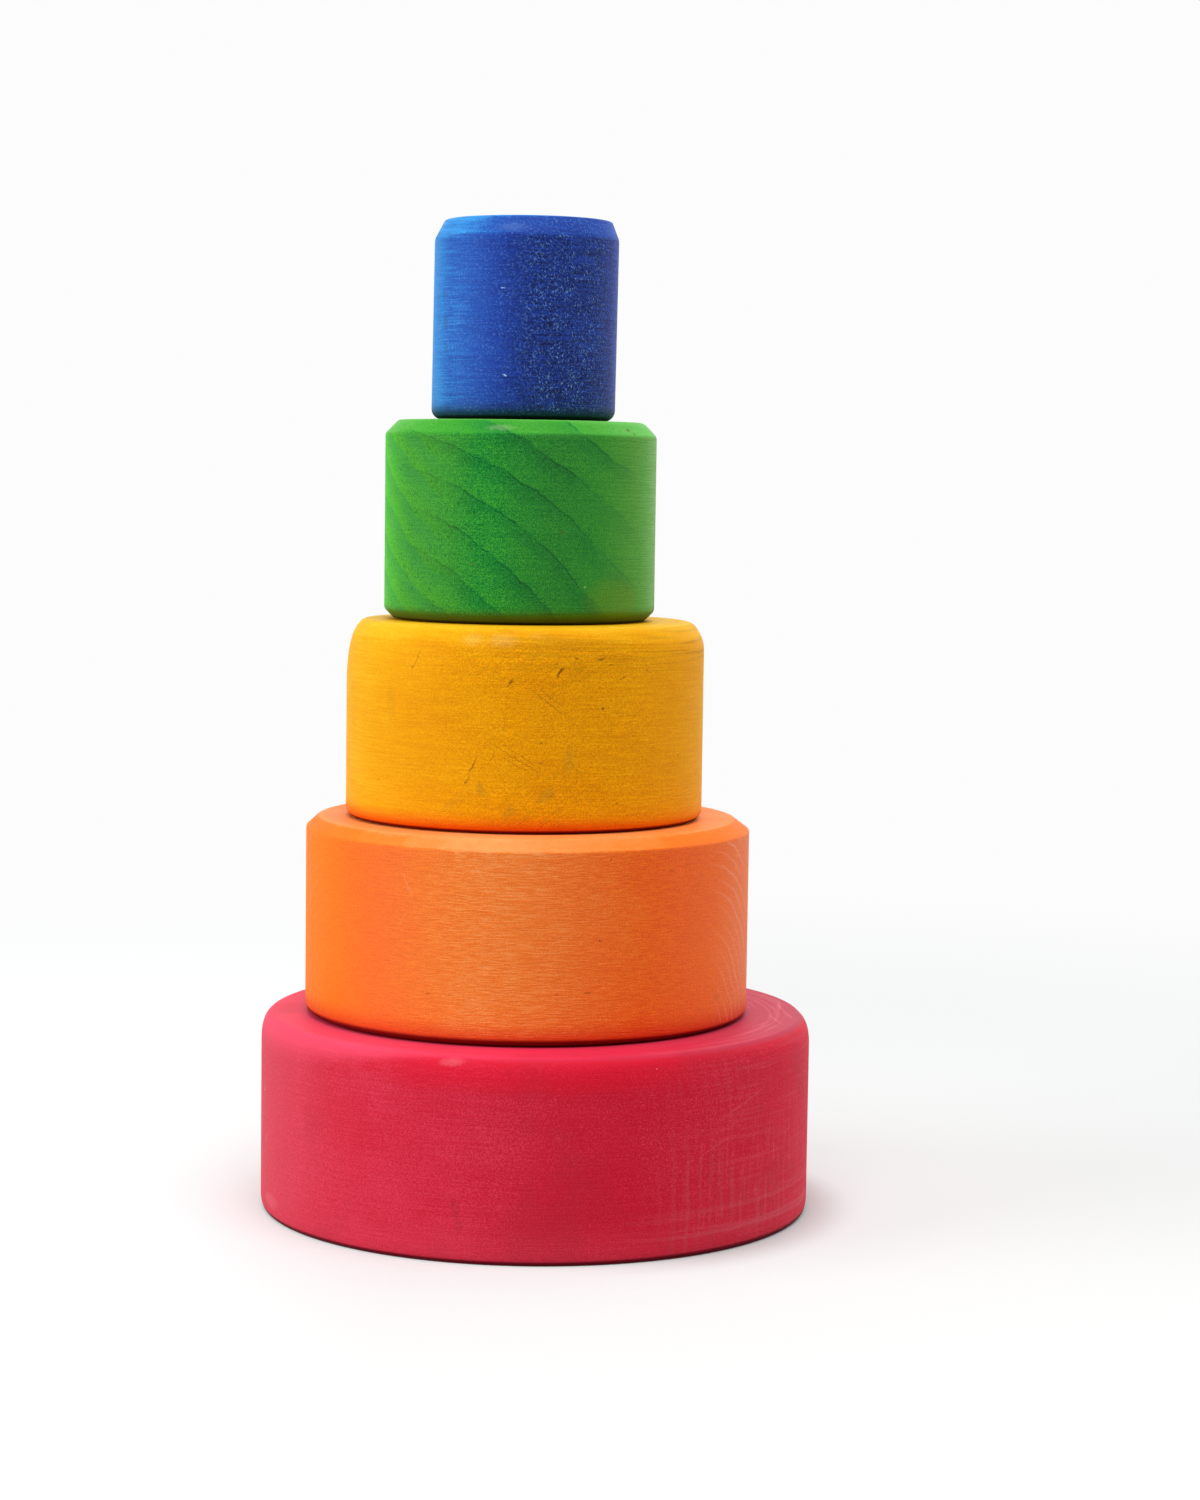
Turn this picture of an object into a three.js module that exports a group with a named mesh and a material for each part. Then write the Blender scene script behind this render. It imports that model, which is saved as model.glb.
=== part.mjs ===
// A set of turned wooden bowls that nest in one another, stacked upside down as a tower
// with the widest at the bottom. Sizes are in millimetres and +Z is up. The widest bowl
// turns about the Z axis and its rim stands on z = 0.

import * as THREE from "three";

// The whole set
const WIDEST_DIAMETER = 100;
const BOWL_HEIGHT = 35.5; // from the rim to the outside of the base
const BASE_THICKNESS = 7.5; // the closed end
const NEST_CLEARANCE = 0.75; // all round, between a bowl and the next one inside it
const STACK_GAP = 0.15; // between a rim and the base that it stands on
const INNER_LIP = 1.2; // rounding of the rim's inside edge
const INNERMOST_FILLET = 2; // inside corner of the smallest bowl
const FILLET_STEPS = 3;
const FACETS = 64; // around a bowl

// Side thickness
const WIDEST_WALL = 9;
const MIDDLE_WALL = 7.15; // orange, yellow and green
const SMALLEST_WALL = 6;

// Edge of the closed end: how far it cuts in from the side, and how far it comes down the side
const RED_SHOULDER_INSET = 1.9;
const RED_SHOULDER_DROP = 5;
const ORANGE_BEVEL_INSET = 2.3;
const ORANGE_BEVEL_DROP = 1.8;
const YELLOW_SHOULDER_INSET = 2.1;
const YELLOW_SHOULDER_DROP = 5.2;
const GREEN_BEVEL = 2.4; // as deep as it is wide
const BLUE_BEVEL_INSET = 1.55;
const BLUE_BEVEL_DROP = 3.6;

// Outside edge of the rim
const RED_LIP = 2;
const ORANGE_LIP = 1.4;
const YELLOW_LIP = 1.5;
const GREEN_LIP = 1.75;
const BLUE_LIP = 1.9;

// How far each bowl stands off the widest bowl's axis, along X
const ORANGE_OFFSET = -1.87;
const YELLOW_OFFSET = -2.67;
const GREEN_OFFSET = -3.93;
const BLUE_OFFSET = -3.63;

// Edge shapes: how far each turns away from the side in degrees, and in how many steps
const BEVEL = { sweep: 90, steps: 1 }; // one straight facet
const ROUND = { sweep: 90, steps: 3 }; // runs out level with the flat face
const SHOULDER = { sweep: 55, steps: 4 }; // leaves a crisp line round the flat face

// Widest first
const BOWLS = [
  {
    name: "red_bowl",
    wall: WIDEST_WALL,
    top: { shape: SHOULDER, inset: RED_SHOULDER_INSET, drop: RED_SHOULDER_DROP },
    lip: { shape: ROUND, inset: RED_LIP, drop: RED_LIP },
    offset: 0,
    color: 0xc4304a,
    roughness: 0.55,
  },
  {
    name: "orange_bowl",
    wall: MIDDLE_WALL,
    top: { shape: BEVEL, inset: ORANGE_BEVEL_INSET, drop: ORANGE_BEVEL_DROP },
    lip: { shape: ROUND, inset: ORANGE_LIP, drop: ORANGE_LIP },
    offset: ORANGE_OFFSET,
    color: 0xec7530,
    roughness: 0.55,
  },
  {
    name: "yellow_bowl",
    wall: MIDDLE_WALL,
    top: { shape: SHOULDER, inset: YELLOW_SHOULDER_INSET, drop: YELLOW_SHOULDER_DROP },
    lip: { shape: ROUND, inset: YELLOW_LIP, drop: YELLOW_LIP },
    offset: YELLOW_OFFSET,
    color: 0xe09516,
    roughness: 0.55,
  },
  {
    name: "green_bowl",
    wall: MIDDLE_WALL,
    top: { shape: BEVEL, inset: GREEN_BEVEL, drop: GREEN_BEVEL },
    lip: { shape: BEVEL, inset: GREEN_LIP, drop: GREEN_LIP },
    offset: GREEN_OFFSET,
    color: 0x338534,
    roughness: 0.5,
  },
  {
    name: "blue_bowl",
    wall: SMALLEST_WALL,
    top: { shape: BEVEL, inset: BLUE_BEVEL_INSET, drop: BLUE_BEVEL_DROP },
    lip: { shape: ROUND, inset: BLUE_LIP, drop: BLUE_LIP },
    offset: BLUE_OFFSET,
    color: 0x2a4a94,
    roughness: 0.5,
  },
];

// Points of an edge as [inward, along]. The first lies on the side and the last on the flat face.
function edgePoints({ shape, inset, drop }) {
  const sweep = THREE.MathUtils.degToRad(shape.sweep);
  const points = [];
  for (let i = 0; i <= shape.steps; i += 1) {
    const angle = (sweep * i) / shape.steps;
    const inward = (inset * (1 - Math.cos(angle))) / (1 - Math.cos(sweep));
    const along = (drop * Math.sin(angle)) / Math.sin(sweep);
    points.push([inward, along]);
  }
  return points;
}

// Outline of half a bowl in radius and height, from the cavity's roof, down the inside, across
// the rim and up the outside to the base. Both ends lie on the axis.
function bowlOutline(bowl, outer, fillet) {
  const inner = outer - bowl.wall;
  const roof = BOWL_HEIGHT - BASE_THICKNESS;
  const outline = [new THREE.Vector2(0, roof)];

  for (let i = 0; i <= FILLET_STEPS; i += 1) {
    const angle = (Math.PI / 2) * (i / FILLET_STEPS);
    const radius = inner - fillet * (1 - Math.sin(angle));
    const height = roof - fillet * (1 - Math.cos(angle));
    outline.push(new THREE.Vector2(radius, height));
  }

  const innerLip = { shape: ROUND, inset: INNER_LIP, drop: INNER_LIP };
  for (const [inward, along] of edgePoints(innerLip)) {
    outline.push(new THREE.Vector2(inner + inward, INNER_LIP - along));
  }
  for (const [inward, along] of edgePoints(bowl.lip).reverse()) {
    outline.push(new THREE.Vector2(outer - inward, bowl.lip.drop - along));
  }
  for (const [inward, along] of edgePoints(bowl.top)) {
    outline.push(new THREE.Vector2(outer - inward, BOWL_HEIGHT - bowl.top.drop + along));
  }

  outline.push(new THREE.Vector2(0, BOWL_HEIGHT));
  return outline;
}

const set = new THREE.Group();
set.name = "wooden_nesting_bowl_set";

let outer = WIDEST_DIAMETER / 2;
BOWLS.forEach((bowl, level) => {
  const next = BOWLS[level + 1];
  // The inside corner stays clear of the edge of the bowl that nests in it.
  const fillet = next ? next.top.inset + NEST_CLEARANCE : INNERMOST_FILLET;
  const geometry = new THREE.LatheGeometry(bowlOutline(bowl, outer, fillet), FACETS);
  geometry.rotateX(Math.PI / 2);

  const material = new THREE.MeshStandardMaterial({
    color: bowl.color,
    roughness: bowl.roughness,
    metalness: 0,
  });
  const mesh = new THREE.Mesh(geometry, material);
  mesh.name = bowl.name;
  mesh.position.set(bowl.offset, 0, level * (BOWL_HEIGHT + STACK_GAP));
  set.add(mesh);

  outer -= bowl.wall + NEST_CLEARANCE;
});

export default set;
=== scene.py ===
"""The looks of a set of stained wooden nesting bowls, stacked upside down as a tower."""
import math
from types import SimpleNamespace

import bpy
import numpy as np
from mathutils import Matrix, Vector


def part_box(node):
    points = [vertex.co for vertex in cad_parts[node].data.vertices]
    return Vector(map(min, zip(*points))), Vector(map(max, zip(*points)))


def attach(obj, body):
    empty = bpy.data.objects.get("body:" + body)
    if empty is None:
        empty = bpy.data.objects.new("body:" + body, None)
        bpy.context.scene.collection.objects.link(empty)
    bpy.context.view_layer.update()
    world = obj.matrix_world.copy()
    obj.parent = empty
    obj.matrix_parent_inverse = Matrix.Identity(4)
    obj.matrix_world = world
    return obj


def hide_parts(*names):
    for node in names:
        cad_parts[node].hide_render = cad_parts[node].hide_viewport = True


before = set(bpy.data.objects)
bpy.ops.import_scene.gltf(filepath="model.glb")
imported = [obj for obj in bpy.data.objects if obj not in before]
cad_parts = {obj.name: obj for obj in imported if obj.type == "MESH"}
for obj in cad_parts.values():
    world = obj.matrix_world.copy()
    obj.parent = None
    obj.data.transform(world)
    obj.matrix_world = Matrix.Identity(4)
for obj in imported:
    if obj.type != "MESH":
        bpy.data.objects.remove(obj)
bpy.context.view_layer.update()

# A bowl's lengths are millimetres in its own frame, with its axis at the origin and its rim at height 0.
# The camera, the floor and the lamps are in metres.
# An azimuth is in degrees round the axis: 0 faces the camera, 90 faces right.
MM = 0.001
BASE_THICKNESS = 7.5
INNER_LIP = 1.2
OUT_OF_ROUND = 0.03
EDGE_WANDER = 0.05  # share by which the top edge varies round a bowl
LIP_WANDER = 0.08  # the same for the rim's outside edge
CHAMFER_EASES = (0.35, 0.5)  # at the lower and upper corner of a chamfered rim
LOWER_WEAR, UPPER_WEAR = 0.6, 1.0  # at the two corners of the top edge

# The mesh along a bowl's outline: lengths between two rows, and numbers of steps
SIDE_STEP = 0.7
END_STEP = 1.2
ROOF_STEPS, BORE_STEPS, RIM_STEPS, CHAMFER_STEPS, EDGE_STEPS = 10, 20, 3, 3, 4
FILLET_ARC, INNER_ARC, LIP_ARC, LOWER_ARC, UPPER_ARC = 8, 6, 8, 8, 5
CHAMFER_ARCS = [3, 4]

# The shape of a bowl
# wall, fillet: the wall and the inside corner. lean: how far the top stands to the right of the rim.
# lip, rise: how far the rim is rounded inward, and how many times as far upward, or None for a chamfer.
# left, right: the edge of the closed end at each side. It is how far it cuts in, how far it comes down,
# how far the lower corner is eased below and above, and how far the upper corner is eased.
# around, seed: the steps round the mesh, and the start of its random draws.
#
# Its grain
# grain: the azimuth that the end grain faces. pith: the centre of the growth rings, sideways and up.
# ring, line: the width of a year and of its line. vary: how much the lines differ.
# broken: how often a line stops. sway: how far the rings wander, and how often.
# lines, bands: how strongly the rings show, as thin lines and as soft bands.
# shown: how squarely the end grain faces out where they start to show, and where they show fully.
# across: where they start to show and show fully across the grain, or None for everywhere.
# fibre, dots, strokes: the strength of the fine grain. dot, pitch, reach: its fineness.
# busy: an azimuth, spread and gain where the fine grain is stronger.
#
# Its stain and painted light, with colours as sRGB of 0 to 255
# stain: colours from where the wood took little stain to where it took most.
# end: how much more stain the end grain takes. bevel: the same for the top edge, at the left and right,
# and how far below the top it starts and is full. Where it is paler, that is partly wear and partly painted
# light from above. shine: how strongly the surface reflects.
# rim: how far up a band of painted shade near the rim reaches, its colour, and its share at the left and
# right. Its colour is tinted by the light bounced up from the bowl or floor below.
# rim_shadow: how far up the rim a painted shadow reaches, left and right, and its colour. It darkens the
# crevice where the bowl sits on the one below or on the floor.
# crown: the colours of the closed end, from left to right, or None. They darken to the right as painted
# shade.
# tints_and_sheen: the azimuth, spread, colour and share of a side whose colour differs. It is partly stain
# taken differently and partly painted light: lighter lit sides and a pale painted sheen on grazing edges.
BOWLS = {
    "red_bowl": dict(
        slot="red_wood", wall=9.0, fillet=3.05, lean=0.0, lip=0.8, rise=3.0,
        left=(1.9, 1.85, 3.1, 1.55, 0.9), right=(1.9, 1.85, 3.1, 1.6, 0.25), around=448, seed=11,
        grain=62, pith=(-160, 10), ring=2.3, line=0.62, vary=0.6, broken=0.07, sway=(1.8, 0.14),
        lines=0.0, bands=-0.03, shown=(0.7, 0.92), across=None,
        fibre=0.02, dots=0.26, strokes=0.045, dot=3.8, pitch=0.2, reach=11, busy=(62, 50, 0.1),
        stain=[(0.0, (238, 80, 109)), (0.3, (215, 35, 59)), (0.6, (210, 19, 44)), (1.0, (140, 8, 28))],
        end=0.14, bevel=(0.06, 0.02, 6.5, 3.0), shine=0.06,
        rim=(9.0, (228, 62, 86), 0.4, 0.3), rim_shadow=(1.05, 1.25, (90, 0, 16)),
        crown=((255, 88, 120), (238, 56, 92), (210, 52, 84), (176, 78, 100)),
        tints_and_sheen=[(-95, 62, (250, 132, 152), 0.2), (92, 44, (238, 24, 70), 0.3)],
    ),
    "orange_bowl": dict(
        slot="orange_wood", wall=7.15, fillet=2.85, lean=0.0, lip=1.6, rise=1.0,
        left=(2.1, 2.0, 0.3, 0.3, 0.5), right=(2.7, 2.0, 0.3, 0.3, 0.3), around=400, seed=23,
        grain=88, pith=(-34, -4), ring=2.2, line=0.34, vary=0.6, broken=0.05, sway=(1.0, 0.25),
        lines=0.0, bands=0.0, shown=(0.8, 0.98), across=None,
        fibre=0.05, dots=0.16, strokes=0.1, dot=4.6, pitch=0.19, reach=2.6, busy=(6, 50, 1.4),
        stain=[(0.0, (255, 168, 100)), (0.26, (255, 128, 34)), (0.6, (253, 97, 38)), (1.0, (204, 56, 18))],
        end=0.36, bevel=(-0.14, -0.09, 2.3, 1.7), shine=0.07,
        rim=(4.8, (224, 42, 26), 0.74, 0.78), rim_shadow=(1.55, 1.15, (108, 0, 8)), crown=None,
        tints_and_sheen=[(-92, 60, (255, 166, 0), 0.42), (-12, 46, (255, 156, 96), 0.15),
               (30, 32, (244, 66, 22), 0.22), (84, 58, (255, 172, 96), 0.2),
               (94, 40, (255, 186, 150), 0.18)],
    ),
    "yellow_bowl": dict(
        slot="yellow_wood", wall=7.15, fillet=3.15, lean=0.0, lip=1.6, rise=1.0,
        left=(2.8, 3.8, 8.0, 3.0, 0.9), right=(2.1, 3.3, 1.8, 1.5, 1.3), around=360, seed=37,
        grain=12, pith=(-54, -83), ring=11.0, line=0.3, vary=0.0, broken=0.2, sway=(1.0, 0.4),
        lines=0.0, bands=0.05, shown=(0.4, 0.8), across=None,
        fibre=0.08, dots=0.22, strokes=0.1, dot=4.0, pitch=0.26, reach=8, busy=(12, 46, 0.4),
        stain=[(0.0, (254, 204, 40)), (0.3, (246, 168, 0)), (0.6, (232, 144, 0)), (1.0, (170, 88, 0))],
        end=0.20, bevel=(-0.08, -0.08, 3.0, 2.4), shine=0.06,
        rim=(3.9, (236, 84, 8), 0.86, 0.45), rim_shadow=(0.7, 0.8, (130, 12, 0)), crown=None, tints_and_sheen=[],
    ),
    "green_bowl": dict(
        slot="green_wood", wall=7.15, fillet=2.3, lean=0.0, lip=1.75, rise=None,
        left=(2.3, 2.5, 0.3, 0.3, 0.4), right=(2.4, 2.5, 0.4, 0.5, 0.8), around=300, seed=41,
        grain=-12, pith=(-31, -27.6), ring=6.4, line=0.3, vary=0.0, broken=0.16, sway=(1.0, 0.4),
        lines=0.24, bands=0.19, shown=(0.28, 0.6), across=(-24.0, -6.0),
        fibre=0.2, dots=0.34, strokes=0.07, dot=4.6, pitch=0.3, reach=10, busy=(-20, 60, 0.2),
        stain=[(0.0, (104, 194, 82)), (0.3, (66, 166, 46)), (0.6, (24, 138, 50)), (1.0, (4, 84, 38))],
        end=0.34, bevel=(-0.12, -0.13, 2.8, 2.2), shine=0.1,
        rim=(3.0, (86, 100, 26), 0.92, 0.92), rim_shadow=(0.5, 0.5, (60, 48, 0)), crown=None,
        tints_and_sheen=[(-56, 40, (112, 190, 20), 0.26), (-96, 44, (84, 226, 40), 0.46),
               (30, 44, (66, 100, 48), 0.24), (76, 44, (124, 140, 72), 0.2),
               (100, 40, (190, 204, 156), 0.2)],
    ),
    "blue_bowl": dict(
        slot="blue_wood", wall=6.0, fillet=2.0, lean=0.4, lip=1.9, rise=1.0,
        left=(1.75, 3.5, 0.5, 0.5, 0.5), right=(1.3, 3.1, 0.5, 0.5, 0.3), around=240, seed=59,
        grain=34, pith=(35, 40), ring=3.6, line=0.3, vary=0.0, broken=0.2, sway=(1.0, 0.4),
        lines=0.0, bands=0.03, shown=(0.4, 0.8), across=None,
        fibre=0.10, dots=0.26, strokes=0.16, dot=3.8, pitch=0.26, reach=8, busy=(34, 50, 0.3),
        stain=[(0.0, (58, 156, 226)), (0.26, (36, 92, 186)), (0.6, (32, 65, 163)), (1.0, (16, 20, 62))],
        end=0.57, bevel=(-0.18, -0.24, 3.6, 3.0), shine=0.12,
        rim=(3.2, (32, 57, 79), 0.9, 0.9), rim_shadow=(0.8, 0.8, (8, 18, 24)), crown=None,
        tints_and_sheen=[(-95, 44, (60, 170, 240), 0.6)],
    ),
}

# Marks of use on the sides: azimuth, height, half length, half width, tilt up to the right, strength.
MARKS = {
    "red_bowl": dict(
        smudge=[(-15.4, 9.3, 1.1, 2.4, 10, 0.15), (-14.5, 6.5, 0.9, 1.6, -15, 0.14)],
        worn=[(-16.5, 34.5, 3.2, 1.0, 4, 0.22), (24.5, 33.2, 0.18, 0.16, 0, 0.6),
              (-76, 22.5, 1.6, 0.2, 25, 0.4), (-74, 14, 2.4, 0.2, 40, 0.25),
              (-70, 3.4, 5.0, 1.5, 0, 0.16), (46.5, 25.4, 8.0, 0.16, 20, 0.12),
              (39, 18.9, 5.2, 0.16, 21, 0.1)],
    ),
    "orange_bowl": dict(
        nick=[(20.9, 32.1, 0.3, 0.2, 0, 0.6), (38.4, 29.5, 0.8, 0.12, -8, 0.6),
              (18.3, 18.2, 0.5, 0.14, 20, 0.6), (-24.4, 8.7, 0.7, 0.12, 25, 0.5),
              (7.7, 9.1, 0.5, 0.12, 10, 0.5), (15.2, 9.3, 0.8, 0.12, 4, 0.6)],
        smudge=[(56.4, 5.9, 1.6, 0.9, 10, 0.2)],
        worn=[(-30.9, 27.5, 3.4, 0.25, -62, 0.2), (-11.4, 29.6, 2.4, 0.25, -58, 0.22),
              (-32, 21, 2.0, 0.22, 55, 0.14)],
    ),
    "yellow_bowl": dict(
        nick=[(-4.1, 26.2, 0.7, 0.35, 45, 0.75), (-5, 25.6, 0.35, 0.2, 30, 0.6),
              (10.8, 27.9, 1.4, 0.28, 55, 0.85), (10, 29.3, 0.4, 0.2, 20, 0.5),
              (16, 30.3, 0.35, 0.15, 0, 0.7), (24.2, 30.2, 1.1, 0.18, 12, 0.7),
              (27.5, 29.2, 0.5, 0.15, 0, 0.5), (31.7, 26.9, 0.9, 0.15, 20, 0.55),
              (24.8, 21.6, 0.4, 0.35, 0, 0.7), (8.1, 23.4, 0.3, 0.25, 0, 0.7),
              (8.2, 20.0, 0.2, 0.2, 0, 0.5), (5.6, 15.8, 0.3, 0.2, -20, 0.6),
              (-0.2, 13.4, 0.25, 0.2, 0, 0.6), (5.3, 12.2, 0.3, 0.22, 0, 0.6),
              (16.5, 11.1, 0.25, 0.22, 0, 0.6), (-15.6, 11.8, 1.9, 0.2, 66, 0.6),
              (-17.6, 9.0, 1.4, 0.16, 60, 0.5), (-35.5, 29.8, 2.6, 0.1, 68, 0.45),
              (-37, 28.2, 0.4, 0.3, 20, 0.35), (41, 28, 0.25, 0.2, 0, 0.6),
              (47.2, 28.3, 0.25, 0.15, 0, 0.5), (44, 8, 0.3, 0.15, 0, 0.5),
              (57, 12.7, 0.25, 0.15, 0, 0.5), (30, 5.2, 0.5, 0.2, -10, 0.5), (-62, 19, 0.2, 0.15, 0, 0.5),
              (-52, 8, 0.3, 0.15, 0, 0.4), (-10, 13, 2.2, 0.1, 64, 0.3), (8, 22.4, 5.6, 0.12, -36, 0.42),
              (9, 23.2, 4.0, 0.1, -37, 0.32), (-2.2, 13, 7.2, 0.12, -31, 0.42),
              (-1, 13.6, 5.0, 0.1, -32, 0.32), (-3, 12.2, 4.0, 0.1, -30, 0.3)],
        smudge=[(14, 12.4, 1.3, 3.2, -6, 0.16), (7, 6.6, 2.6, 1.2, 36, 0.2),
                (-13, 7.6, 1.0, 1.6, 20, 0.26), (-4.5, 3.9, 1.8, 1.2, 40, 0.2),
                (-46, 22, 1.4, 4.0, 0, 0.08), (-22, 5, 3.0, 1.0, 30, 0.12)],
        worn=[(-16.6, 33.8, 3.0, 2.0, 0, 0.26), (-7, 33.9, 4.4, 2.2, 0, 0.28),
              (4, 34.4, 3.4, 1.2, 0, 0.16)],
    ),
    "green_bowl": dict(
        nick=[(53.5, 34.0, 0.8, 0.4, 10, 0.8), (56, 33.4, 0.4, 0.25, 40, 0.8),
              (17.5, 16, 0.5, 0.5, 0, 0.3), (-19.5, 10.5, 0.8, 0.3, -45, 0.4), (60, 7, 0.3, 0.3, 0, 0.5)],
        worn=[(28.2, 6.6, 0.22, 0.26, 0, 0.5), (-8, 34.2, 4.0, 0.8, 0, 0.25)],
        smudge=[(44, 4.0, 9.0, 5.0, 0, 0.24)],
    ),
    "blue_bowl": dict(
        smudge=[(-58, 17, 1.0, 1.8, 0, 0.3), (-60, 22, 1.2, 0.8, 0, 0.3), (-57, 12.5, 1.0, 1.0, 0, 0.25)],
        worn=[(-12.8, 22.7, 0.6, 0.12, -6, 0.9), (-11, 7.6, 0.4, 0.14, -30, 0.9),
              (-8, 33.4, 4.0, 1.0, 0, 0.08)],
    ),
}
# Scratches on the closed end: sideways, back, half length, half width, turn, strength.
SCRATCHES = {
    "red_bowl": [(43.3, -9, 6.0, 0.25, 100, 0.3), (40, -14, 4.0, 0.25, 60, 0.2),
                 (36, 8, 7.0, 0.3, 130, 0.2), (46, -4, 5.0, 0.4, 96, 0.2), (45, 6, 7.0, 0.4, 86, 0.2),
                 (42, -17, 5.0, 0.4, 66, 0.18)],
}
MARK_DEPTH = 2.0
SHAKE = 0.7  # how far the edges of marks wander
# The colours of those marks, and of the grain and wear that only one bowl has. The red bowl's shoulder
# colour is a painted highlight.
COLOURS = {
    "red_bowl": dict(smudge=(120, 40, 44), worn=(250, 150, 165), shoulder=(236, 22, 50), ring=(200, 84, 98),
                     ridge=(216, 104, 118), score=(244, 122, 142), dust=(172, 50, 64)),
    "orange_bowl": dict(nick=(128, 44, 10), smudge=(176, 112, 72), worn=(255, 186, 122),
                        ring=(255, 204, 178)),
    "yellow_bowl": dict(nick=(116, 54, 16), smudge=(150, 122, 40), worn=(252, 214, 120)),
    "green_bowl": dict(nick=(96, 70, 30), worn=(190, 214, 160), smudge=(122, 140, 10), speck=(24, 84, 22),
                       figure=(14, 128, 72)),
    "blue_bowl": dict(smudge=(52, 84, 120), worn=(170, 205, 240), fleck=(140, 188, 236),
                      speck=(120, 178, 240)),
}

# Stain and grain that all bowls share
SIDE_DEPTH = 0.24  # of the stain where the side of the fibres faces out
BLOTCH = 0.2
EDGE_LOSS = 0.1  # of stain on the worn top edge
SHADE_SHARE = 0.4  # how much of the fine grain is light and dark, beside its stain
GRAIN_DIP = 2  # degrees
RING_TAPER = 0.02  # how much the rings change along the grain
SLOW_SWAY = (2.6, 0.06)  # how far all growth rings wander, and how often
FIBRE_FINENESS, FIBRE_STRETCH, FLECK_STRETCH = 1.5, (0.1, 1, 1), 0.05
SHAKE_FINENESS, BLOTCH_FINENESS, PATCH_FINENESS = 1.6, 0.06, 0.12
CROWN_SPOTS = (0.2, 0.5, 0.75, 0.97)  # of the crown's colours, as shares of the width
FIGURE_ACROSS = (0.29, -0.5, 0.81)  # the green bowl's slanting figure, square to its bands
FIGURE_PITCH = 5.4
SMOOTHEST, ROUGHENING = 0.45, 0.25  # of the surface, and how much its fibres roughen it
BUMP_HEIGHT, BUMP_STRENGTH = 0.0001, 0.6  # the height in metres

# Camera, as fitted to the photograph's frame of 1200 by 1500 pixels
FRAME_PIXELS, FOCAL_PIXELS = 1500, 3159.3
SENSOR = 36  # mm, along the longer side of the frame
YAW, PITCH, ROLL = 1.106, 5.001, 0.802  # degrees
CAMERA_PLACE = (0, -0.57221, 0.1333)
FARTHEST = 20

# Floor, studio and lamps
FLOOR_HALF = 6
PAPER = 0.64  # how much light it sends back
PAPER_FADES = (0.11, 0.45)  # from the middle, into the white backdrop
# A faint cyan, which paints out the pink light that the red bowl bounces onto the floor.
GLOW = (0.94, 1, 1, 1)
# The glow is brighter on the left: painted light from the side of the key lamp.
GLOW_LEFT, GLOW_RIGHT = 0.36, 0.25
GLOW_SPAN = (-0.075, -0.02)  # sideways
# A painted shadow: the glow is cut back at the right of the tower's foot.
SHADOW_RING = (0.0495, 0.06)  # of the shadow at the foot of the tower, from the middle
SHADOW_SPAN = (0.0, 0.04)  # sideways
SHADOW_SHARE = 0.9
WHITE = 0.975
BACK_RIGHT = (0.8, 0.6, 0)
ROOM_LIGHT, MIRRORED_GAIN = 0.5, 0.45
LAMP_TARGET = (0, 0, 0.08)
# The place, width and power of each lamp
LAMPS = {"key": ((-1.05, -0.3, 0.42), 1.0, 7.6), "top": ((0.1, -0.45, 1.12), 1.2, 10.6)}


def bowl_size(name):
    """The middle of a bowl's rim in metres, and its radius and height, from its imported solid."""
    low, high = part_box(name)
    centre = Vector(((low.x + high.x) / 2, (low.y + high.y) / 2, low.z))
    return SimpleNamespace(centre=centre, outer=(high.x - low.x) / 2 / MM, height=(high.z - low.z) / MM)


def ripple(angles, seed, first=1, last=5):
    """A smooth uneven curve around a bowl, between -1 and 1."""
    rng = np.random.default_rng(seed)
    total = np.zeros_like(angles)
    for order in range(first, last + 1):
        total += rng.uniform(0.4, 1) / math.sqrt(order) * np.cos(order * angles + rng.uniform(0, 2 * np.pi))
    return total / np.abs(total).max()


def rounded_outline(corners, spacing, arc_steps):
    """Points of an outline for every angle at once, as an array of angle, point, (radius, height).

    Each corner is (radius, height, reach before, reach after): an arc replaces it over that reach.
    spacing gives the number of steps along the straight run that follows each corner.
    The second result numbers the corner whose arc each point lies on, or -1 along a straight run."""
    places = [np.stack(np.broadcast_arrays(c[0], c[1]), -1) for c in corners]
    starts, ends, arcs = [], [], []
    for i, (place, corner) in enumerate(zip(places, corners)):
        if i in (0, len(corners) - 1):
            starts.append(place)
            ends.append(place)
            arcs.append(place[:, None])
            continue
        back = places[i - 1] - place
        ahead = places[i + 1] - place
        back /= np.linalg.norm(back, axis=-1, keepdims=True)
        ahead /= np.linalg.norm(ahead, axis=-1, keepdims=True)
        start = place + back * np.asarray(corner[2])[..., None]
        end = place + ahead * np.asarray(corner[3])[..., None]
        half = np.sqrt((1 - (back * ahead).sum(-1)) / 2)[:, None, None]
        s = np.linspace(0, 1, arc_steps[i] + 1)[None, :, None]
        a, b, c = (1 - s) ** 2, 2 * s * (1 - s) * half, s ** 2
        arcs.append((a * start[:, None] + b * place[:, None] + c * end[:, None]) / (a + b + c))
        starts.append(start)
        ends.append(end)
    parts, owners = [], []
    for i, arc in enumerate(arcs):
        parts.append(arc)
        owners += [i] * arc.shape[1]
        if i + 1 < len(arcs):
            s = np.linspace(0, 1, spacing[i] + 1)[1:-1][None, :, None]
            parts.append(ends[i][:, None] * (1 - s) + starts[i + 1][:, None] * s)
            owners += [-1] * parts[-1].shape[1]
    return np.concatenate(parts, 1), np.array(owners)


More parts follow.
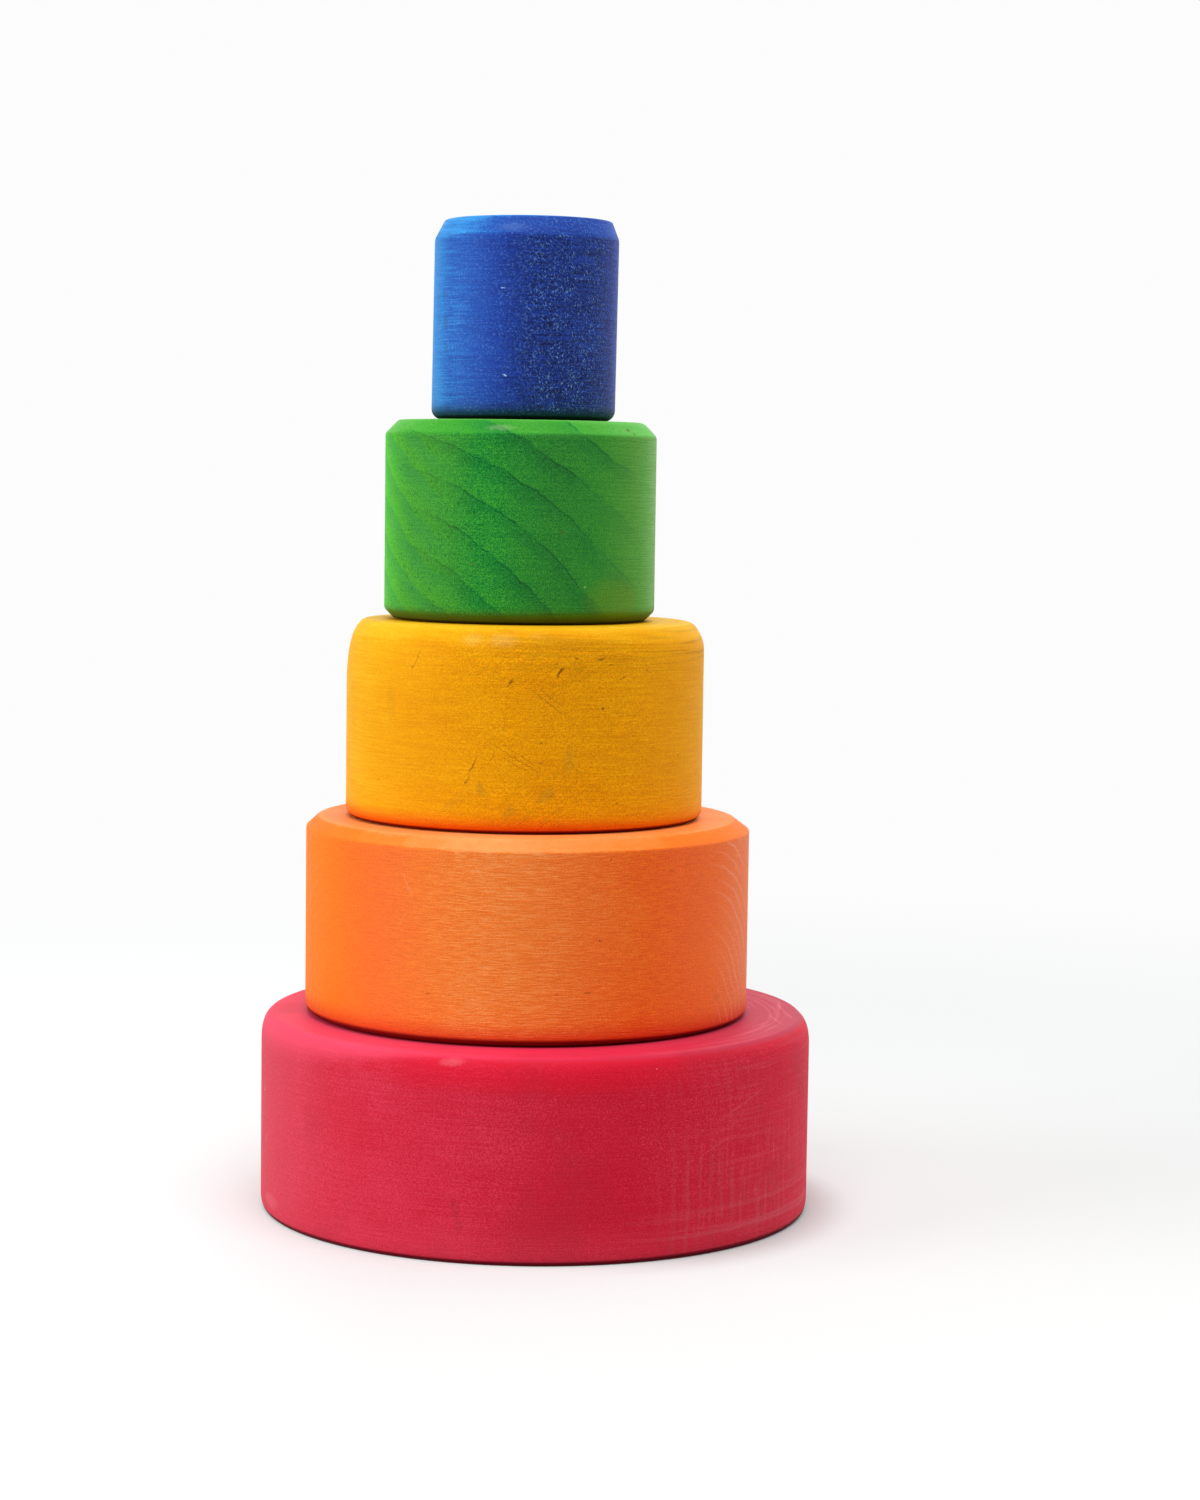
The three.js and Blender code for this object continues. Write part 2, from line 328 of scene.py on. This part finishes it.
def lathe(name, points, angles, wear, lean):
    """A closed mesh from outlines at every angle. The first and last point of each lie on the axis.

    It has a map of angle against length along the outline, and wear, one number for each outline point.
    lean is how far it leans to the right for each unit of height."""
    count, length = points.shape[:2]
    rows = length - 2
    inner = points[:, 1:-1]
    x = inner[..., 0] * np.sin(angles)[:, None] + lean * inner[..., 1]
    y = -inner[..., 0] * np.cos(angles)[:, None]
    ring = np.stack([x, y, inner[..., 1]], -1).reshape(-1, 3)
    poles = np.array([[lean * z, 0, z] for z in (points[0, 0, 1], points[0, -1, 1])])
    run = np.concatenate([[0], np.linalg.norm(np.diff(points[0], axis=0), axis=-1).cumsum()])
    run /= run[-1]
    faces, spots = [], []
    for j in range(count):
        a, b = j * rows, (j + 1) % count * rows
        u0, u1 = j / count, (j + 1) / count
        faces.append((count * rows, b, a))
        spots += [(u0, 0), (u1, run[1]), (u0, run[1])]
        for i in range(rows - 1):
            faces.append((a + i, b + i, b + i + 1, a + i + 1))
            spots += [(u0, run[i + 1]), (u1, run[i + 1]), (u1, run[i + 2]), (u0, run[i + 2])]
        faces.append((count * rows + 1, a + rows - 1, b + rows - 1))
        spots += [(u0, 1), (u0, run[-2]), (u1, run[-2])]
    mesh = bpy.data.meshes.new(name)
    mesh.from_pydata(np.concatenate([ring, poles]).tolist(), [], faces)
    mesh.uv_layers.new(name="OFBake").uv.foreach_set("vector", np.array(spots).ravel())
    worn = mesh.attributes.new("wear", "FLOAT", "POINT")
    worn.data.foreach_set("value", np.concatenate([np.tile(wear[1:-1], count), [0, 0]]))
    mesh.polygons.foreach_set("use_smooth", [True] * len(mesh.polygons))
    mesh.update()
    return mesh


def turned_bowl(name, spec, size):
    """A fine, slightly uneven turned bowl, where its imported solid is."""
    outer, height, seed = size.outer, size.height, spec["seed"]
    angles = np.linspace(0, 2 * np.pi, spec["around"], endpoint=False)
    even = np.ones_like(angles)
    rightness = 0.5 + 0.5 * np.sin(angles)
    edges = zip(spec["left"], spec["right"])
    cut, drop, below, above, upper = (l * (1 - rightness) + r * rightness for l, r in edges)
    cut = cut * (1 + EDGE_WANDER * ripple(angles, seed + 1))
    drop = drop * (1 + EDGE_WANDER * ripple(angles, seed + 2))
    lip = spec["lip"] * (1 + LIP_WANDER * ripple(angles, seed + 4))
    side = outer - OUT_OF_ROUND * (1 + ripple(angles, seed + 3, first=2, last=4))
    inner = outer - spec["wall"]
    roof = height - BASE_THICKNESS
    fillet = spec["fillet"] * even

    # From the axis along the roof of the hollow, down its wall and out along the rim
    corners = [(0 * even, roof * even, 0, 0), (inner * even, roof * even, fillet, fillet),
               (inner * even, 0 * even, INNER_LIP * even, INNER_LIP * even)]
    spacing = [ROOF_STEPS, BORE_STEPS, RIM_STEPS]
    arc_steps = [0, FILLET_ARC, INNER_ARC]
    if spec["rise"] is None:
        low_ease, high_ease = (ease * even for ease in CHAMFER_EASES)
        corners += [(side - lip, 0 * even, low_ease, low_ease), (side, lip, high_ease, high_ease)]
        spacing += [CHAMFER_STEPS]
        arc_steps += CHAMFER_ARCS
    else:
        corners += [(side, 0 * even, lip, lip * spec["rise"])]
        arc_steps += [LIP_ARC]

    # Up the side and in over the closed end to the axis
    corners += [(side, height - drop, below, above), (side - cut, height * even, upper, upper),
                (0 * even, height * even, 0, 0)]
    spacing += [int(height / SIDE_STEP), EDGE_STEPS, int(outer / END_STEP)]
    arc_steps += [LOWER_ARC, UPPER_ARC, 0]
    points, owners = rounded_outline(corners, spacing, arc_steps)
    upper_corner, lower_corner = len(corners) - 2, len(corners) - 3
    wear = np.where(owners == upper_corner, UPPER_WEAR, 0) + np.where(owners == lower_corner, LOWER_WEAR, 0)

    mesh = lathe(name + "_turned", points, angles, wear, spec["lean"] / height)
    mesh.transform(Matrix.Translation(size.centre) @ Matrix.Scale(MM, 4))
    piece = bpy.data.objects.new(name + "_turned", mesh)
    bpy.context.scene.collection.objects.link(piece)
    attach(piece, name)
    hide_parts(name)
    return piece


def tone(colour):
    """A node's colour, in linear light, from an sRGB colour of 0 to 255."""
    shares = [c / 255 for c in colour]
    return (*(s / 12.92 if s <= 0.04045 else ((s + 0.055) / 1.055) ** 2.4 for s in shares), 1)


class Graph:
    """Short calls for the nodes of one material or world."""

    def __init__(self, owner):
        owner.use_nodes = True
        self.tree = owner.node_tree
        self.tree.nodes.clear()

    def put(self, socket, value):
        """Link a socket to another, or set it to a plain value."""
        if isinstance(value, bpy.types.NodeSocket):
            self.tree.links.new(value, socket)
        else:
            socket.default_value = value

    def node(self, kind, settings=None, **inputs):
        made = self.tree.nodes.new("ShaderNode" + kind)
        for key, value in (settings or {}).items():
            setattr(made, key, value)
        for key, value in inputs.items():
            self.put(made.inputs[key.replace("_", " ")], value)
        return made

    def math(self, operation, *values):
        made = self.node("Math", {"operation": operation})
        for socket, value in zip(made.inputs, values):
            self.put(socket, value)
        return made.outputs[0]

    def times(self, first, *others):
        for other in others:
            first = self.math("MULTIPLY", first, other)
        return first

    def vector(self, operation, *values):
        made = self.node("VectorMath", {"operation": operation})
        for socket, value in zip(made.inputs, values):
            self.put(socket, value)
        return made.outputs["Value" if operation in ("LENGTH", "DOT_PRODUCT", "DISTANCE") else "Vector"]

    def split(self, vector):
        return self.node("SeparateXYZ", None, Vector=vector).outputs

    def mapping(self, vector, kind="POINT", location=(0, 0, 0), rotation=(0, 0, 0), scale=(1, 1, 1)):
        made = self.node("Mapping", {"vector_type": kind}, Vector=vector, Location=location, Scale=scale)
        made.inputs["Rotation"].default_value = rotation
        return made.outputs[0]

    def noise(self, vector, scale, detail=2.0, roughness=0.5, output="Fac"):
        made = self.node("TexNoise", None, Vector=vector, Scale=scale, Detail=detail, Roughness=roughness)
        return made.outputs[output]

    def smooth(self, value, low, high, to_low=0.0, to_high=1.0):
        """A soft step from one value to another while the first goes from low to high."""
        made = self.node("MapRange", {"interpolation_type": "SMOOTHSTEP"}, Value=value)
        for key, number in (("From Min", low), ("From Max", high), ("To Min", to_low), ("To Max", to_high)):
            self.put(made.inputs[key], number)
        return made.outputs["Result"]

    def ramp(self, value, stops):
        made = self.node("ValToRGB", None, Fac=value)
        elements = made.color_ramp.elements
        while len(elements) < len(stops):
            elements.new(0.5)
        for element, (place, colour) in zip(elements, stops):
            element.position = place
            element.color = tone(colour)
        return made.outputs["Color"]

    def blend(self, amount, under, over):
        """Lay a colour over another. The upper one is a socket or an sRGB colour."""
        made = self.node("Mix", {"data_type": "RGBA"})
        if not isinstance(over, bpy.types.NodeSocket):
            over = tone(over)
        for number, value in ((0, amount), (6, under), (7, over)):
            self.put(made.inputs[number], value)
        return made.outputs[2]

    def finish(self, shader, kind="OutputMaterial"):
        self.put(self.node(kind).inputs["Surface"], shader.outputs[0])


def wood_places(g, spec, size):
    """Where a point of the bowl is: in the bowl, along and across the grain, and round the lathe."""
    seen = g.node("TexCoord").outputs
    turn = math.radians(spec["grain"])
    place = g.mapping(seen["Object"], location=tuple(-size.centre / MM), scale=(1 / MM,) * 3)
    wood = g.mapping(place, rotation=(0, math.radians(GRAIN_DIP), math.pi / 2 - turn))
    facing = g.vector("DOT_PRODUCT", seen["Normal"], (math.sin(turn), -math.cos(turn), 0))
    endness = g.math("ABSOLUTE", facing)
    x, y, height = g.split(place)
    radius = g.vector("LENGTH", g.vector("MULTIPLY", place, (1, 1, 0)))
    shake = g.vector("SUBTRACT", g.noise(place, SHAKE_FINENESS, 1.0, output="Color"), (0.5, 0.5, 0.5))
    uneven = g.vector("ADD", place, g.vector("MULTIPLY", shake, (SHAKE, SHAKE, SHAKE)))
    return SimpleNamespace(place=place, wood=wood, uneven=uneven, normal=seen["Normal"],
                           upward=g.split(seen["Normal"])["Z"], endness=endness,
                           end=g.smooth(endness, 0.1, 1.0), x=x, y=y, height=height, radius=radius,
                           travel=g.math("ADD", height, radius))


def toward(g, at, azimuth, spread, away, facing):
    """A soft change from one value to another on the side that faces an azimuth."""
    faces = (math.sin(math.radians(azimuth)), -math.cos(math.radians(azimuth)), 0)
    squarely = g.vector("DOT_PRODUCT", at.normal, faces)
    return g.smooth(squarely, math.cos(math.radians(spread)), 1.0, away, facing)


def growth_rings(g, at, spec):
    """Thin lines and soft bands of the growth rings, which lie round a pith along the grain."""
    distance = g.vector("DISTANCE", g.vector("MULTIPLY", at.wood, (RING_TAPER, 1, 1)), (0, *spec["pith"]))
    for width, often in (SLOW_SWAY, spec["sway"]):
        waver = g.math("SUBTRACT", g.noise(at.wood, often, 2.0), 0.5)
        distance = g.math("MULTIPLY_ADD", waver, width, distance)
    years = g.math("DIVIDE", distance, spec["ring"])
    phase = g.math("FRACT", years)
    width = spec["line"] / spec["ring"]
    line = g.times(g.smooth(phase, 1 - 2 * width, 1 - width),
                   g.smooth(phase, 1 - 0.8 * width, 1.0, 1.0, 0.0))
    line = g.times(line, g.smooth(g.noise(at.wood, spec["broken"], 2.0), 0.36, 0.58))
    if spec["vary"]:
        luck = g.node("TexWhiteNoise", {"noise_dimensions": "1D"}, W=g.math("FLOOR", years))
        line = g.times(line, g.smooth(luck.outputs["Value"], 0.2, 0.9, 1.0 - spec["vary"], 1.0))
    band = g.times(g.smooth(phase, 0.35, 0.94), g.smooth(phase, 0.95, 1.0, 1.0, 0.0))
    band = g.times(band, g.smooth(g.noise(at.wood, 0.1, 1.0), 0.3, 0.6, 0.4, 1.0))
    shown = g.smooth(at.endness, *spec["shown"])
    if spec["across"]:
        shown = g.times(shown, g.smooth(g.split(at.wood)["Y"], *spec["across"]))
    return g.times(line, shown), g.times(band, shown)


def tool_lines(g, at, pitch, reach):
    """Fine lines round the axis, which start and stop."""
    turning = g.node("CombineXYZ", None, X=g.math("DIVIDE", at.x, reach), Y=g.math("DIVIDE", at.y, reach),
                     Z=g.math("DIVIDE", at.travel, pitch))
    return g.noise(turning.outputs[0], 1.0, 2.0, 0.6)


def fine_grain(g, at, spec):
    """The fibres of the wood, and its dots and lathe strokes, which are even about 0."""
    fibre = g.noise(g.vector("MULTIPLY", at.wood, FIBRE_STRETCH), FIBRE_FINENESS, 3.0, 0.6)
    dots = g.smooth(g.noise(at.place, spec["dot"], 1.0), 0.3, 0.7, -0.5, 0.5)
    strokes = g.smooth(tool_lines(g, at, spec["pitch"], spec["reach"]), 0.3, 0.7, -0.5, 0.5)
    azimuth, spread, gain = spec["busy"]
    busy = g.times(toward(g, at, azimuth, spread, 1.0, 1.0 + gain), g.smooth(at.upward, 0.2, 0.8, 1.0, 0.5))
    dots = g.times(dots, busy, g.math("MULTIPLY_ADD", at.end, 0.6, 0.4))
    return fibre, dots, g.times(strokes, busy)


def flecks(g, at, width, length, tilt, low, high):
    """Short strokes on the end grain, where a stretched noise is high."""
    turned = g.mapping(at.wood, rotation=(math.radians(tilt), 0, 0))
    stretched = g.vector("MULTIPLY", turned, (FLECK_STRETCH, 1 / length, 1 / width))
    return g.smooth(g.noise(stretched, 1.0, 1.0), low, high)


def highest(g, masks):
    """The strongest of some masks at each place."""
    total = masks[0]
    for mask in masks[1:]:
        total = g.math("MAXIMUM", total, mask)
    return total


def marked(g, at, outer, rows):
    """One mask of marks of use on the side."""
    masks = []
    for azimuth, height, half_length, half_width, tilt, strength in rows:
        turn = math.radians(azimuth)
        middle = (outer * math.sin(turn), -outer * math.cos(turn), height)
        local = g.mapping(at.uneven, "TEXTURE", middle, (0, -math.radians(tilt), turn),
                          (half_length, MARK_DEPTH, half_width))
        masks.append(g.smooth(g.vector("LENGTH", local), 0.4, 1.1, strength, 0.0))
    return highest(g, masks)


def scratched(g, at, height, rows):
    """One mask of scratches on the closed end."""
    masks = []
    for sideways, back, half_length, half_width, turn, strength in rows:
        local = g.mapping(at.uneven, "TEXTURE", (sideways, back, height), (0, 0, math.radians(turn)),
                          (half_length, half_width, MARK_DEPTH))
        masks.append(g.smooth(g.vector("LENGTH", local), 0.3, 1.1, strength, 0.0))
    return highest(g, masks)


def crowned(g, at, spec, size, colour):
    """The red bowl's shoulder with a painted highlight band at the front, and the colours of its closed end
    from left to right, darkening to the right as painted shade.
    """
    outer, height = size.outer, size.height
    # A painted highlight: a brighter red band round the front of the shoulder.
    front = g.times(g.smooth(at.x, -0.7 * outer, -0.2 * outer),
                    g.smooth(at.x, 0.3 * outer, 0.8 * outer, 1.0, 0.0))
    shoulder = g.times(g.smooth(at.height, height - 7.0, height - 4.0, 0.0, 0.5), front)
    colour = g.blend(shoulder, colour, COLOURS["red_bowl"]["shoulder"])
    # The closed end's colours, darkening to the right as painted shade.
    rightness = g.math("MULTIPLY_ADD", at.x, 0.5 / outer, 0.5)
    crown = g.ramp(rightness, list(zip(CROWN_SPOTS, spec["crown"])))
    starts = g.smooth(at.x, -0.95 * outer, -0.3 * outer, height - 6.5, height - 1.1)
    return g.blend(g.smooth(at.height, starts, height - 0.1, 0.0, 0.65), colour, crown)


def red_details(g, at, line, colour):
    """Dull growth rings, and on the right turned ridges and rubbed and upright strokes, under some dust."""
    tones = COLOURS["red_bowl"]
    fading = g.times(toward(g, at, 42, 30, 0.3, 1.0), g.smooth(at.height, 16.0, 26.0, 1.0, 0.35))
    colour = g.blend(g.times(line, fading, 0.36), colour, tones["ring"])
    ridges = g.times(g.smooth(tool_lines(g, at, 1.0, 60), 0.46, 0.62), g.smooth(at.x, 8.0, 42.0),
                     g.smooth(at.height, 7.0, 9.0, 1.0, 0.12), g.smooth(at.height, 2.0, 3.6))
    colour = g.blend(g.times(ridges, 0.34), colour, tones["ridge"])
    turned = g.times(g.smooth(tool_lines(g, at, 0.6, 26), 0.48, 0.66), g.smooth(at.upward, 0.6, 0.9),
                     g.smooth(at.x, 10.0, 40.0, 0.0, 0.16))
    colour = g.blend(turned, colour, tones["worn"])
    rubbed = g.times(g.smooth(tool_lines(g, at, 0.4, 14), 0.48, 0.66), toward(g, at, 66, 44, 0.0, 0.06))
    colour = g.blend(rubbed, colour, tones["worn"])
    upright = g.noise(g.vector("MULTIPLY", at.uneven, (2.4, 2.4, 0.12)), 1.0, 2.0, 0.6)
    scored = g.times(g.smooth(upright, 0.52, 0.66), toward(g, at, 56, 36, 0.0, 0.15),
                     g.smooth(at.height, 2.0, 5.0), g.smooth(at.height, 15.0, 25.0, 1.0, 0.2))
    colour = g.blend(scored, colour, tones["score"])
    dusty = g.smooth(g.noise(at.place, 0.07, 3.0), 0.5, 0.68, 0.0, 0.2)
    return g.blend(dusty, colour, tones["dust"])


def orange_details(g, at, line, colour):
    """Pale growth rings, clear on the right and faint on the left."""
    share = g.smooth(at.x, -20.0, 0.0, 0.1, 0.36)
    return g.blend(g.times(line, share), colour, COLOURS["orange_bowl"]["ring"])


def green_details(g, at, line, colour):
    """Dark specks and a slanting figure, both mostly on the left."""
    tones = COLOURS["green_bowl"]
    patches = g.smooth(g.noise(at.place, 0.2, 1.0), 0.38, 0.6, 0.3, 1.0)
    specks = g.times(g.smooth(g.noise(at.place, 2.1, 1.0), 0.56, 0.68), patches,
                     toward(g, at, -42, 48, 0.15, 1.0))
    colour = g.blend(g.times(specks, 0.5), colour, tones["speck"])
    slanted = g.vector("DOT_PRODUCT", at.place, FIGURE_ACROSS)
    wavy = g.math("MULTIPLY_ADD", g.noise(at.place, 0.1, 2.0), 5.0, slanted)
    phase = g.math("FRACT", g.math("DIVIDE", wavy, FIGURE_PITCH))
    figure = g.times(g.smooth(phase, 0.0, 0.85), g.smooth(phase, 0.9, 1.0, 1.0, 0.0),
                     toward(g, at, -62, 40, 0.0, 0.32))
    return g.blend(figure, colour, tones["figure"])


def blue_details(g, at, line, colour):
    """Pale flecks on the end grain, and faint specks all round."""
    tones = COLOURS["blue_bowl"]
    patches = g.smooth(g.noise(at.place, 0.32, 2.0), 0.34, 0.58, 0.2, 1.0)
    pale = highest(g, [flecks(g, at, 0.18, 0.7, 62, 0.64, 0.72), flecks(g, at, 0.18, 0.6, -48, 0.66, 0.74)])
    scattered = g.times(pale, patches, toward(g, at, 30, 40, 0.0, 1.0))
    colour = g.blend(g.times(scattered, 0.72), colour, tones["fleck"])
    specks = g.smooth(g.noise(at.place, 2.6, 1.0), 0.55, 0.7, 0.0, 0.16)
    return g.blend(specks, colour, tones["speck"])


def yellow_shade(g, at, shade):
    """Crossed strokes on the end grain, and the dark grooves of a tool round the shoulder."""
    crossed = g.math("SUBTRACT", flecks(g, at, 0.4, 2.2, -34, 0.3, 0.7), 0.5)
    crossed = g.times(crossed, g.smooth(at.endness, 0.75, 0.95),
                      g.smooth(g.noise(at.place, 0.12, 1.0), 0.4, 0.6))
    shade = g.times(shade, g.math("MULTIPLY_ADD", crossed, 0.14, 1.0))
    grooves = g.times(g.smooth(tool_lines(g, at, 0.4, 24), 0.46, 0.6), g.smooth(at.height, 26.0, 30.0),
                      g.smooth(at.x, -24.0, 8.0))
    return g.times(shade, g.math("MULTIPLY_ADD", grooves, -0.18, 1.0))


# What only one bowl has, laid over its colour. Each of these is given the growth lines too.
DETAILS = {"red_bowl": red_details, "orange_bowl": orange_details, "green_bowl": green_details,
           "blue_bowl": blue_details}


def stain_depth(g, at, spec, size, patterns):
    """How much stain the wood took. End grain drinks more, and the other patterns are even about it. The
    change at the top edge is partly wear and partly painted light from above.
    """
    line, band, fibre, dots, strokes = patterns
    depth = g.math("MULTIPLY_ADD", at.end, spec["end"], SIDE_DEPTH)
    blotch = g.noise(at.place, BLOTCH_FINENESS, 2.0)
    shifts = ((line, spec["lines"]), (g.math("SUBTRACT", band, 0.25), spec["bands"]),
              (g.math("SUBTRACT", fibre, 0.5), spec["fibre"]), (g.math("SUBTRACT", blotch, 0.5), BLOTCH),
              (dots, spec["dots"]), (strokes, spec["strokes"]))
    for shift, weight in shifts:
        if weight:
            depth = g.math("MULTIPLY_ADD", shift, weight, depth)
    wear = g.node("Attribute", {"attribute_name": "wear"}).outputs["Fac"]
    depth = g.math("MULTIPLY_ADD", g.times(wear, g.smooth(fibre, 0.4, 0.7)), -EDGE_LOSS, depth)
    # The top edge: partly wear, and partly painted light from above where it is paler.
    at_left, at_right, starts, full = spec["bevel"]
    bevel = g.smooth(at.x, -0.8 * size.outer, 0.8 * size.outer, at_left, at_right)
    near_top = g.smooth(at.height, size.height - starts, size.height - full)
    return g.math("MULTIPLY_ADD", near_top, bevel, depth)


def stained_wood(name, spec, size):
    """Turned wood under a thin stain. Its colour also holds painted light and shade: lit sides and sheen,
    shade and bounced light near the rim, and a shadow under it.
    """
    material = bpy.data.materials.new(name + "_stain")
    g = Graph(material)
    at = wood_places(g, spec, size)
    line, band = growth_rings(g, at, spec)
    fibre, dots, strokes = fine_grain(g, at, spec)
    colour = g.ramp(stain_depth(g, at, spec, size, (line, band, fibre, dots, strokes)), spec["stain"])

    # The colour differs from side to side, partly in stain and partly as painted light and sheen. Near the
    # rim lies painted shade, and the closed end has colours of its own.
    for azimuth, spread, stain, share in spec["tints_and_sheen"]:
        colour = g.blend(toward(g, at, azimuth, spread, 0.0, share), colour, stain)
    # A band up from the rim: painted shade, tinted with the light bounced up from the bowl or floor below.
    reach, rim_shade_tint, at_left, at_right = spec["rim"]
    outside = g.smooth(at.radius, size.outer - 2.6, size.outer - 1.4)
    share = g.times(g.smooth(at.x, 0.2 * size.outer, 0.9 * size.outer, at_left, at_right), outside)
    colour = g.blend(g.times(g.smooth(at.height, 0.4, reach, 1.0, 0.0), share), colour, rim_shade_tint)
    if spec["crown"]:
        colour = crowned(g, at, spec, size, colour)

    # Grain and wear that only this bowl has, and its marks
    if name in DETAILS:
        colour = DETAILS[name](g, at, line, colour)
    for kind, rows in MARKS[name].items():
        colour = g.blend(marked(g, at, size.outer, rows), colour, COLOURS[name][kind])
    if name in SCRATCHES:
        colour = g.blend(scratched(g, at, size.height, SCRATCHES[name]), colour, COLOURS[name]["worn"])

    # The painted shadow in the crevice under the rim, and the light and dark of the grain
    at_left, at_right, rim_shadow = spec["rim_shadow"]
    climb = g.math("DIVIDE", at.height, g.smooth(at.x, 0.0, 0.9 * size.outer, at_left, at_right))
    colour = g.blend(g.times(g.smooth(climb, 0.5, 1.0, 0.95, 0.0), outside), colour, rim_shadow)
    patch = g.smooth(g.noise(at.place, PATCH_FINENESS, 2.0), 0.35, 0.65, 0.45, 1.0)
    shade = g.times(g.math("MULTIPLY_ADD", dots, -SHADE_SHARE * spec["dots"], 1.0),
                    g.math("MULTIPLY_ADD", g.times(strokes, patch), -SHADE_SHARE * spec["strokes"], 1.0))
    if name == "yellow_bowl":
        shade = yellow_shade(g, at, shade)
    colour = g.node("VectorMath", {"operation": "SCALE"}, Vector=colour, Scale=shade).outputs["Vector"]

    rough = g.math("MULTIPLY_ADD", fibre, ROUGHENING, SMOOTHEST)
    relief = g.math("MULTIPLY_ADD", dots, 0.5, g.times(strokes, 0.5))
    relief = g.math("MULTIPLY_ADD", fibre, 3 * spec["fibre"], relief)
    bump = g.node("Bump", None, Height=relief, Strength=BUMP_STRENGTH, Distance=BUMP_HEIGHT)
    g.finish(g.node("BsdfPrincipled", None, Base_Color=colour, Roughness=rough, Normal=bump.outputs[0],
                    Specular_IOR_Level=spec["shine"]))
    return material


def fitted_camera():
    """The camera that took the photograph."""
    yaw, pitch, roll = (math.radians(angle) for angle in (YAW, PITCH, ROLL))
    ahead = Vector((math.sin(yaw) * math.cos(pitch), math.cos(yaw) * math.cos(pitch), -math.sin(pitch)))
    right = Vector((math.cos(yaw), -math.sin(yaw), 0))
    up = right.cross(ahead)
    right, up = math.cos(roll) * right + math.sin(roll) * up, math.cos(roll) * up - math.sin(roll) * right
    camera = bpy.data.objects.new("camera", bpy.data.cameras.new("camera"))
    camera.data.lens = SENSOR * FOCAL_PIXELS / FRAME_PIXELS
    camera.data.clip_end = FARTHEST
    turn = Matrix((right, up, -ahead)).transposed().to_4x4()
    camera.matrix_world = Matrix.Translation(CAMERA_PLACE) @ turn
    return camera


def paper(material):
    """Pale paper, which runs out into the white backdrop and is darker where the tower stands on it. Its
    glow is brighter on the left as painted light, and is cut back at the right of the tower's foot as a
    painted shadow.
    """
    g = Graph(material)
    spot = g.node("TexCoord").outputs["Object"]
    across = g.split(spot)["X"]
    distance = g.vector("LENGTH", spot)
    light = g.node("LightPath").outputs
    seen = g.math("MAXIMUM", light["Is Camera Ray"], light["Is Glossy Ray"])
    # Painted light and shadow: the glow is brighter on the left, and cut back at the right of the tower's
    # foot.
    lit = g.smooth(across, *GLOW_SPAN, GLOW_LEFT, GLOW_RIGHT)
    touching = g.smooth(distance, *SHADOW_RING, 1.0, 0.0)
    shaded = g.math("SUBTRACT", 1.0, g.times(touching, g.smooth(across, *SHADOW_SPAN, 0.0, SHADOW_SHARE)))
    diffuse = g.node("BsdfDiffuse", None, Color=(PAPER, PAPER, PAPER, 1))
    glow = g.node("Emission", None, Color=GLOW, Strength=g.times(seen, lit, shaded))
    backdrop = g.node("Emission", None, Color=(WHITE, WHITE, WHITE, 1), Strength=1.0)
    near = g.node("AddShader")
    g.put(near.inputs[0], diffuse.outputs[0])
    g.put(near.inputs[1], glow.outputs[0])
    mixed = g.node("MixShader", None, Fac=g.times(g.smooth(distance, *PAPER_FADES), seen))
    g.put(mixed.inputs[1], near.outputs[0])
    g.put(mixed.inputs[2], backdrop.outputs[0])
    g.finish(mixed)


def pale_floor():
    """A wide floor under the tower."""
    mesh = bpy.data.meshes.new("floor")
    corners = [(-FLOOR_HALF, -FLOOR_HALF, 0), (FLOOR_HALF, -FLOOR_HALF, 0), (FLOOR_HALF, FLOOR_HALF, 0),
               (-FLOOR_HALF, FLOOR_HALF, 0)]
    mesh.from_pydata(corners, [], [(0, 1, 2, 3)])
    material = bpy.data.materials.new("floor_paper")
    paper(material)
    mesh.materials.append(material)
    return bpy.data.objects.new("floor", mesh)


def studio():
    """A white studio, darker where the viewer stands and brighter at the back right."""
    world = bpy.data.worlds.new("studio")
    g = Graph(world)
    light = g.node("LightPath").outputs
    direction = g.node("TexCoord").outputs["Generated"]
    frontness = g.vector("DOT_PRODUCT", direction, (0, -1, 0))
    backness = g.vector("DOT_PRODUCT", direction, BACK_RIGHT)
    room = g.times(g.smooth(frontness, -0.2, 0.7, 1.0, 0.25), g.smooth(backness, -0.3, 0.9, 0.8, 2.0))
    mirrored = g.math("MAXIMUM", light["Is Glossy Ray"], light["Is Transmission Ray"])
    strength = g.times(room, g.math("MULTIPLY_ADD", mirrored, MIRRORED_GAIN, ROOM_LIGHT))
    strength = g.smooth(light["Is Camera Ray"], 0.0, 1.0, strength, WHITE)
    g.finish(g.node("Background", None, Color=(1, 1, 1, 1), Strength=strength), "OutputWorld")
    return world


def lamp(name, place, width, power):
    """A round soft lamp that faces the tower."""
    data = bpy.data.lights.new(name, "AREA")
    data.shape = "DISK"
    data.size = width
    data.energy = power
    made = bpy.data.objects.new(name, data)
    made.location = place
    made.rotation_euler = (Vector(LAMP_TARGET) - Vector(place)).to_track_quat("-Z", "Y").to_euler()
    return made


for bowl_name, bowl_spec in BOWLS.items():
    packed = bowl_size(bowl_name)
    bowl = turned_bowl(bowl_name, bowl_spec, packed)
    bowl.data.materials.append(stained_wood(bowl_name, bowl_spec, packed))

scene = bpy.context.scene
scene.camera = fitted_camera()
scene.collection.objects.link(scene.camera)
floor = pale_floor()
scene.collection.objects.link(floor)
scene.world = studio()
for lamp_name, lamp_settings in LAMPS.items():
    scene.collection.objects.link(lamp(lamp_name, *lamp_settings))
scene.view_settings.view_transform = "Standard"
